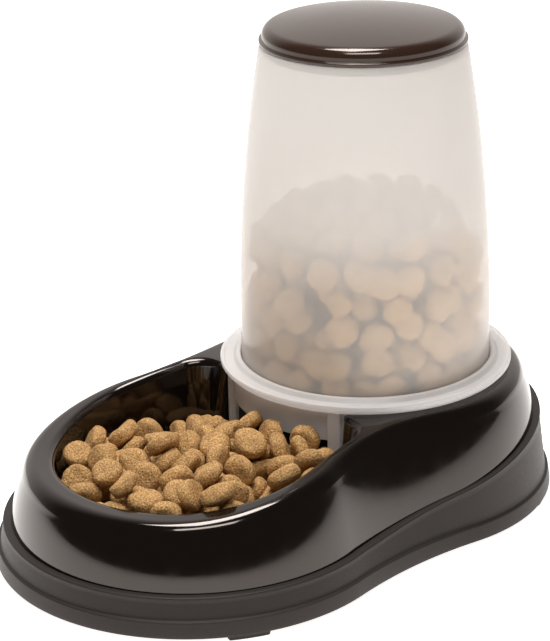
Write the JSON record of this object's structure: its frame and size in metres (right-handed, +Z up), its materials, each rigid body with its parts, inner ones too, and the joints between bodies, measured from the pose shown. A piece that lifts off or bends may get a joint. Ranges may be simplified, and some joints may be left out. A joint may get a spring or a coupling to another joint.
{
  "type": "gravity pet feeder",
  "caption": "Gravity pet food dispenser: glossy figure-of-eight base with a round bowl, soft non-slip skirt, translucent twist-lock collar, frosted hopper and domed lid.",
  "frame": {"origin": "middle of the footprint, on the surface that the pads stand on", "axes": "+Z up, -Y towards the bowl, +Y towards the hopper, +X to the right when looking from the bowl towards the hopper"},
  "size_m": [0.194, 0.3, 0.242],
  "materials": {
    "gloss_shell": "high-gloss moulded, very dark brown",
    "soft_skirt": "matte moulded elastomer, charcoal",
    "foot_pads": "matte rubber, near black",
    "clear_collar": "translucent polypropylene, satin",
    "frosted_hopper": "frosted translucent polypropylene",
    "gloss_lid": "high-gloss moulded, smoky dark brown",
    "dry_food": "dry, grainy, toasted brown"
  },
  "bodies": {
    "base": {"base_shell": "gloss_shell", "base_skirt": "soft_skirt", "foot_pad_front_right": "foot_pads", "foot_pad_front_left": "foot_pads", "foot_pad_rear_right": "foot_pads", "foot_pad_rear_left": "foot_pads", "bowl_food": "dry_food"},
    "collar": {"feed_collar": "clear_collar"},
    "hopper": {"hopper": "frosted_hopper", "hopper_food": "dry_food"},
    "lid": {"lid": "gloss_lid"}
  },
  "joints": [
    {"name": "collar_lift", "type": "slide", "parent": "base", "child": "collar", "axis": [0, 0, 1], "range_m": [0, 0.12]},
    {"name": "hopper_twist", "type": "hinge", "parent": "collar", "child": "hopper", "pos_m": [0, 0.057, 0.07], "axis": [0, 0, 1], "range_deg": [0, 20]},
    {"name": "lid_lift", "type": "slide", "parent": "hopper", "child": "lid", "axis": [0, 0, 1], "range_m": [0, 0.06]}
  ]
}
